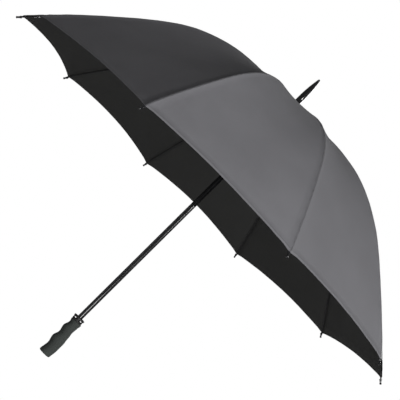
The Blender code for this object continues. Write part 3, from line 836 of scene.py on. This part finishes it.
def make_strap():
    k = STRAP_RIB
    low, high = STRAP_SHARES
    turn = turned(k)
    shape = Shape()
    rings = []
    steps = 36

    def spot(share, away, lift):
        r, z = cloth_at(share)
        angle = HALF_PANEL * abs(away)
        out = r * math.cos(HALF_PANEL) / math.cos(HALF_PANEL - angle)
        dip = PANEL_DIP * (1 - (1 - abs(away)) ** 2) * math.sin(math.pi * share)
        bow = inward_at(share) * (dip - lift)
        angle = math.copysign(angle, away)
        reach = out + bow.x
        return turn @ Vector((reach * math.cos(angle), reach * math.sin(angle), z + bow.y))

    for i in range(steps + 1):
        t = i / steps
        share = low + (high - low) * t
        lift = 0.0022 + 0.0010 * math.sin(math.pi * t) + 0.0002 * math.sin(40 * t)
        ring = []
        for away, up in ((-0.42, 0), (-0.418, 0.0005), (-0.36, 0.0007), (-0.302, 0.0005), (-0.30, 0)):
            ring.append(spot(share, away, lift + up))
        for away, up in ((-0.302, -0.0005), (-0.36, -0.0006), (-0.418, -0.0005)):
            ring.append(spot(share, away, lift + up))
        rings.append(ring)
    shape.skin(rings, STRAP_CLOTH)
    centre = spot(0.915, -0.36, 0.0032)
    out = (spot(0.915, -0.36, 0.0062) - centre).normalized()
    turn_up = Matrix.Translation(centre) @ out.to_track_quat("Z", "Y").to_matrix().to_4x4()
    snap = [(0.0, 0.0014), (0.0022, 0.0012), (0.0026, 0.0007), (0.0042, 0.0006)]
    snap += [(0.0050, 0.0002), (0.0050, -0.0002), (0.0, -0.0002)]
    shape.lathe(snap, STEEL, turn_up, 28)
    obj = shape.finish("closing_strap_band", "strap", ("closing_strap",), f"rib_arm_{number(k)}", 50)
    crumple(obj)


# Ribs, clips, stretchers and tip caps


def knee_share():
    """Where along the rib the clip sits."""
    shares = [i / 2000 for i in range(600, 1500)]
    return min(shares, key=lambda s: (rib_at(s) + inward_at(s) * STRETCHER_OFFSET - KNEE).length)


def make_ribs():
    knee = knee_share()
    for k in range(RIB_COUNT):
        turn = turned(k)
        tangent = turn @ Vector((0, 1, 0))
        body = f"rib_arm_{number(k)}"
        root = turn @ plane_point(NOTCH_PIVOT)

        shape = Shape()
        points = [NOTCH_PIVOT.lerp(rib_at(0.025), 0.25)]
        points += [rib_at(0.022 + (1 - 0.022) * i / 64) for i in range(65)]
        points.append(TIP + TIP_HEADING * 0.0075)
        shape.tube([turn @ plane_point(p) for p in points], RIB_ROD, RIB_FIBRE, 14)
        shape.eyelet(root, tangent, 0.0024, EYE, EYE_HOLE, ENAMEL)
        start = NOTCH_PIVOT.lerp(rib_at(0.025), 0.22)
        sleeve = [start, rib_at(0.025), rib_at(0.034), rib_at(0.0345)]
        radii = [0.0011, RIB_ROD + 0.00035, RIB_ROD + 0.00035, RIB_ROD + 0.0001]
        shape.tube([turn @ plane_point(p) for p in sleeve], radii, ENAMEL, 16)
        shape.finish(f"rib_rod_{number(k)}", "rib", (f"rib_{number(k)}",), body)

        shape = Shape()
        along = direction_at(knee)
        middle = rib_at(knee)
        stations = (-0.0080, -0.0072, -0.0058, -0.0054, 0.0054, 0.0058, 0.0072, 0.0080)
        radii = [0.0021, 0.0028, 0.0028, 0.0024, 0.0024, 0.0028, 0.0028, 0.0021]
        points = [turn @ plane_point(middle + along * s) for s in stations]
        shape.tube(points, radii, NYLON, 20)
        down = inward_at(knee)
        for side in (-1, 1):
            y = side * (0.00135 + 0.00055)
            outline = []
            for s in (-0.0042, 0.0042):
                outline.append(middle + along * s + down * 0.0012)
            for i in range(9):
                a = math.pi * i / 8
                way = along * math.cos(a) * 0.0026 + down * math.sin(a) * 0.0026
                outline.append(middle + down * STRETCHER_OFFSET + way)
            place = turn @ Matrix.Translation((0, y, 0))
            shape.plate([(p.x, p.y) for p in outline], 0.0011, NYLON, place)
        knee_spot = turn @ plane_point(KNEE)
        shape.pin(knee_spot, tangent, 0.0056, 0.0008, STEEL)
        for side in (-1, 1):
            shape.pin(knee_spot + tangent * side * 0.0026, tangent, 0.0005, 0.0015, STEEL)
        shape.finish(f"clip_{number(k)}", "linkage", (f"rib_clip_{number(k)}",), body)

        shape = Shape()
        base = turn @ plane_point(TIP)
        heading = (turn @ plane_point(TIP + TIP_HEADING)) - base
        place = Matrix.Translation(base) @ heading.to_track_quat("Z", "Y").to_matrix().to_4x4()
        profile = [
            (0.0, TIP_CAP_LENGTH), (0.0012, TIP_CAP_LENGTH - 0.0002),
            (0.0022, TIP_CAP_LENGTH - 0.0008),
        ]
        profile += [
            (0.0029, 0.0132), (0.0030, 0.0122), (0.0027, 0.0112), (0.0023, 0.0102),
            (0.0024, 0.0085),
        ]
        profile += [
            (0.0028, 0.0050), (0.0031, 0.0036), (0.0034, 0.0032), (0.0034, 0.0016),
            (0.0031, 0.0012),
        ]
        profile += [(0.0031, 0.0004), (0.0028, 0.0), (0.0018, 0.0)]
        shape.lathe(profile, TIP_GLOSS, place, 28)
        for spot in (0.0002, 0.0009):
            ring = [(0.0033 * math.cos(a), 0.0033 * math.sin(a)) for a in ring_turn(20)]
            loop = [place @ Vector((x, y, spot)) for x, y in ring]
            shape.tube(loop + loop[:1], 0.0002, THREAD, 6)
        shape.finish(f"tip_cap_{number(k)}", "rib_tip", (f"rib_tip_{number(k)}",), body)


def ring_turn(sides):
    return [2 * math.pi * j / sides for j in range(sides)]


def make_stretchers():
    along = (RUNNER_PIVOT - KNEE).normalized()
    for k in range(RIB_COUNT):
        turn = turned(k)
        tangent = turn @ Vector((0, 1, 0))
        shape = Shape()
        stations = (0.0085, 0.0100, 0.0125, 0.10, 0.20, LINK - 0.0150, LINK - 0.0110, LINK - 0.0018)
        radii = [0.0010, 0.0014, 0.0015, 0.0015, 0.0015, 0.0015, 0.0014, 0.0011]
        points = [turn @ plane_point(KNEE + along * s) for s in stations]
        shape.tube(points, radii, ENAMEL, 14)
        across = Vector((-along.y, along.x))
        outline = [KNEE + along * 0.0112 + across * 0.0013, KNEE + along * 0.0112 - across * 0.0013]
        for i in range(9):
            a = math.pi * i / 8
            outline.append(KNEE - across * math.cos(a) * 0.0021 - along * math.sin(a) * 0.0021)
        shape.plate([(p.x, p.y) for p in outline], 0.0018, ENAMEL, turn)
        knee_spot = turn @ plane_point(KNEE)
        shape.eyelet(knee_spot, tangent, 0.0021, 0.0018, 0.0009, ENAMEL)
        shape.eyelet(turn @ plane_point(RUNNER_PIVOT), tangent, 0.0024, EYE, EYE_HOLE, ENAMEL)
        for s in (LINK - 0.0170, 0.0150):
            ends = (-0.0030, -0.0026, 0.0026, 0.0030)
            points = [turn @ plane_point(KNEE + along * (s + d)) for d in ends]
            shape.tube(points, [0.0014, 0.0018, 0.0018, 0.0014], ENAMEL, 14)
        name = number(k)
        node, body = f"stretcher_{name}", f"stretcher_arm_{name}"
        shape.finish(f"stretcher_rod_{name}", "linkage", (node,), body)


# Handle and shaft


def make_grip():
    rings = []
    heights = [0.0, 0.0004, 0.0010, 0.0018, GRIP_EDGE]
    heights += [GRIP_EDGE + (GRIP_LENGTH - 2 * GRIP_EDGE) * i / 92 for i in range(1, 93)]
    heights += [GRIP_LENGTH - d for d in (0.0018, 0.0010, 0.0004, 0.0)]
    for z in heights:
        edge = min(z, GRIP_LENGTH - z)
        inset = GRIP_EDGE_ROUND * max(0.0, 1 - edge / GRIP_EDGE) ** 2
        ring = []
        for a in ring_turn(64):
            c, s = math.cos(a), math.sin(a)
            reach = eased(GRIP_BACK if c > 0 else GRIP_FRONT, z) - inset
            rib = GRIP_RIB * math.sin(z * 2 * math.pi / GRIP_RIB_PITCH) * min(1.0, edge / 0.006)
            rib *= max(0.0, 1 - abs(s) * 1.4) if c > 0 else 0.0
            line = -GRIP_PARTING * math.exp(-((c / 0.03) ** 2))
            reach += rib + line
            ring.append(Vector((reach * c, (GRIP_SIDE - inset + line) * s, z)))
        rings.append(ring)
    shape = Shape()
    shape.skin(list(reversed(rings)), RUBBER)
    plug = [(0.0, 0.0008), (0.0062, 0.0008), (0.0068, 0.0004), (0.0068, 0.00002), (0.0, 0.00002)]
    shape.lathe(plug, NYLON, sides=40)
    shape.finish("grip_moulding", "grip", ("grip",), "handle_and_shaft", 40)


def make_cup():
    """The cup that holds the tips when the canopy is closed: a floor, posts and a rim."""
    low, high = CUP_LOW.z, CUP_HIGH.z
    radius = CUP_HIGH.x
    wall = CUP_WALL
    profile = [(radius - wall + 0.0003, high), (radius - 0.0003, high), (radius, high - 0.0004)]
    profile += [
        (radius, high - 0.0032), (radius - 0.0004, high - 0.0036),
        (radius - 0.0008, low + 0.0044),
    ]
    profile += [
        (radius - 0.0014, low + 0.0010), (radius - 0.0018, low), (BORE, low),
        (BORE, low + 0.0020),
    ]
    profile += [
        (0.0085, low + 0.0020), (0.0088, low + 0.0016), (radius - wall - 0.0018, low + 0.0016),
    ]
    profile += [
        (radius - wall - 0.0010, low + 0.0042), (radius - wall, high - 0.0036),
        (radius - wall, high - 0.0003),
    ]
    shape = Shape()
    shape.lathe(profile, NYLON, sides=72, ring=True)
    obj = shape.finish("tip_cup_moulding", "moulding", ("tip_cup",), "handle_and_shaft")
    blocks = []
    for k in range(3):
        turn = Matrix.Rotation(k * math.pi / 3, 4, "Z")
        blocks.append(((0.05, 0.0105, 0.0044), turn @ Matrix.Translation((0, 0, low + 0.0052))))
    cut(obj, blocks)


def make_shaft():
    low, high = SHAFT_LOW.z, SHAFT_HIGH.z
    profile = [(SHAFT_RADIUS, high)]
    profile += [(SHAFT_RADIUS, high - (high - low) * i / 40) for i in range(1, 41)]
    profile += [(SHAFT_BORE, low), (SHAFT_BORE, high)]
    shape = Shape()
    shape.lathe(profile, SHAFT_GLOSS, sides=56, ring=True)
    obj = shape.finish("shaft_tube", "shaft", ("shaft",), "handle_and_shaft")
    blocks = []
    for name in ("top_catch", "bottom_catch"):
        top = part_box(name)[1].z
        blocks.append(((0.0030, 0.008, 0.0345), Matrix.Translation((0, SHAFT_RADIUS, top - 0.0160))))
    cut(obj, blocks)
    smooth_long(obj)


def smooth_long(obj):
    """Shades every face smooth, apart from its sharp edges."""
    for p in obj.data.polygons:
        p.use_smooth = True
    obj.data.set_sharp_from_angle(angle=SHARP_EDGE)


def make_ferrule():
    low, high = FERRULE_LOW.z, FERRULE_HIGH.z
    profile = [
        (0.0, high), (0.0010, high - 0.0001), (0.0019, high - 0.0006), (0.0025, high - 0.0016),
    ]
    for i in range(33):
        t = 1 - i / 32
        profile.append((0.0027 + 0.0056 * (1 - t**2.1), high - 0.0020 - FERRULE_TAPER * (1 - t)))
    profile += [
        (0.0083, low + 0.0074), (0.0085, low + 0.0070), (0.0085, low + 0.0014), (0.0080, low),
    ]
    profile += [(BORE, low), (BORE, SHAFT_HIGH.z + 0.0005), (0.0, SHAFT_HIGH.z + 0.0005)]
    shape = Shape()
    shape.lathe(profile, FERRULE_GLOSS, sides=56)
    shape.finish("ferrule_cap", "ferrule", ("ferrule",), "handle_and_shaft")


def make_washer():
    low, high = (v.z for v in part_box("canopy_washer"))
    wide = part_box("canopy_washer")[1].x
    profile = [(0.0088, high), (0.0100, high), (0.0118, high - 0.0003), (0.0150, high - 0.0009)]
    profile += [
        (wide - 0.0003, low + 0.0006), (wide, low + 0.0003), (wide - 0.0002, low), (BORE, low),
        (BORE, high),
    ]
    shape = Shape()
    shape.lathe(profile, NYLON, sides=64, ring=True)
    shape.finish("crown_washer", "moulding", ("canopy_washer",), "handle_and_shaft")


def hub_blocks(pivot_z, height):
    length = 0.0150
    size = (length, 0.0036, height)
    place = Matrix.Translation((0.0086 + length / 2, 0, pivot_z))
    return [(size, turned(k) @ place) for k in range(RIB_COUNT)]


def hub(name, node, body, profile, pivot_z, height, extra=()):
    """A slotted moulding with the wire that the links turn on."""
    shape = Shape()
    shape.lathe(profile, NYLON, sides=60, ring=True)
    obj = shape.finish(f"{name}_moulding", "moulding", (node,), body)
    cut(obj, [*hub_blocks(pivot_z, height), *extra])
    wire = Shape()
    a = ring_turn(60)
    loop = [Vector((PIVOT_RADIUS * math.cos(t), PIVOT_RADIUS * math.sin(t), pivot_z)) for t in a]
    wire.tube(loop + loop[:1], WIRE, STEEL, 10)
    wire.finish(f"{name}_wire", "spring", (), body)


def make_notch():
    low, high = (v.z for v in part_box("notch"))
    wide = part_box("notch")[1].x
    pivot = NOTCH_PIVOT.y
    skirt = pivot - 0.0055
    profile = [(wide - 0.0012, high), (wide - 0.0003, high - 0.0004), (wide, high - 0.0012)]
    profile += [(wide, skirt + 0.0012), (wide - 0.0003, skirt + 0.0004), (wide - 0.0012, skirt)]
    profile += [(0.0094, skirt), (0.0094, low + 0.0006), (0.0089, low), (BORE, low), (BORE, high)]
    hub("notch", "notch", "handle_and_shaft", profile, pivot, 0.0300)


def make_runner():
    pivot = RUNNER_PIVOT.y
    low, high = RUNNER_LOW.z, RUNNER_HIGH.z
    head = RUNNER_HEAD
    skirt = pivot - 0.0050
    foot = RUNNER_FOOT
    sleeve = RUNNER_SLEEVE
    profile = [(head - 0.0012, high), (head - 0.0003, high - 0.0004), (head, high - 0.0012)]
    profile += [(head, skirt + 0.0012), (head - 0.0003, skirt + 0.0004), (head - 0.0012, skirt)]
    profile += [(0.0106, skirt - 0.0012), (0.0098, skirt - 0.0030)]
    for i in range(5):
        z = skirt - 0.0200 - 0.0026 * i
        groove = sleeve - 0.0005
        profile += [
            (sleeve, z), (sleeve, z - 0.0006), (groove, z - 0.0009), (groove, z - 0.0015),
            (sleeve, z - 0.0018),
        ]
    profile += [
        (sleeve, low + 0.0080), (0.0104, low + 0.0064), (foot - 0.0004, low + 0.0056),
        (foot, low + 0.0048),
    ]
    profile += [
        (foot, low + 0.0008), (foot - 0.0007, low), (BORE + 0.0005, low), (BORE, low + 0.0006),
        (BORE, high),
    ]
    window = ((0.0040, 0.0080, 0.0110), Matrix.Translation((0, 0.0098, pivot - 0.0205)))
    hub("runner", "runner", "slider", profile, pivot, 0.0160, [window])


def make_catches():
    """Bent leaves of spring steel, each with a nose that stands out of the shaft."""
    for name in ("top_catch", "bottom_catch"):
        low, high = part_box(name)
        top, nose = high.z, high.y
        outline = [
            (nose - 0.0006, top), (nose, top - 0.0006), (nose, top - 0.0026),
            (nose - 0.0006, top - 0.0036),
        ]
        outline += [(SHAFT_RADIUS - 0.0004, top - 0.0110), (0.0036, top - 0.0140), (0.0036, low.z)]
        outline += [(0.0008, low.z), (0.0008, top - 0.0022), (0.0016, top - 0.0008), (0.0036, top)]
        stand = Matrix(((0, 1, 0, 0), (1, 0, 0, 0), (0, 0, 1, 0), (0, 0, 0, 1)))
        shape = Shape()
        shape.plate(outline, high.x - low.x, STEEL, stand, 0.00015)
        shape.finish(f"{name}_spring", "spring", (name,), f"{name}_leaf")


make_camera()
make_world()
make_floor()
make_lights()
make_canopy()
make_strap()
make_ribs()
make_stretchers()
make_grip()
make_cup()
make_shaft()
make_ferrule()
make_washer()
make_notch()
make_runner()
make_catches()
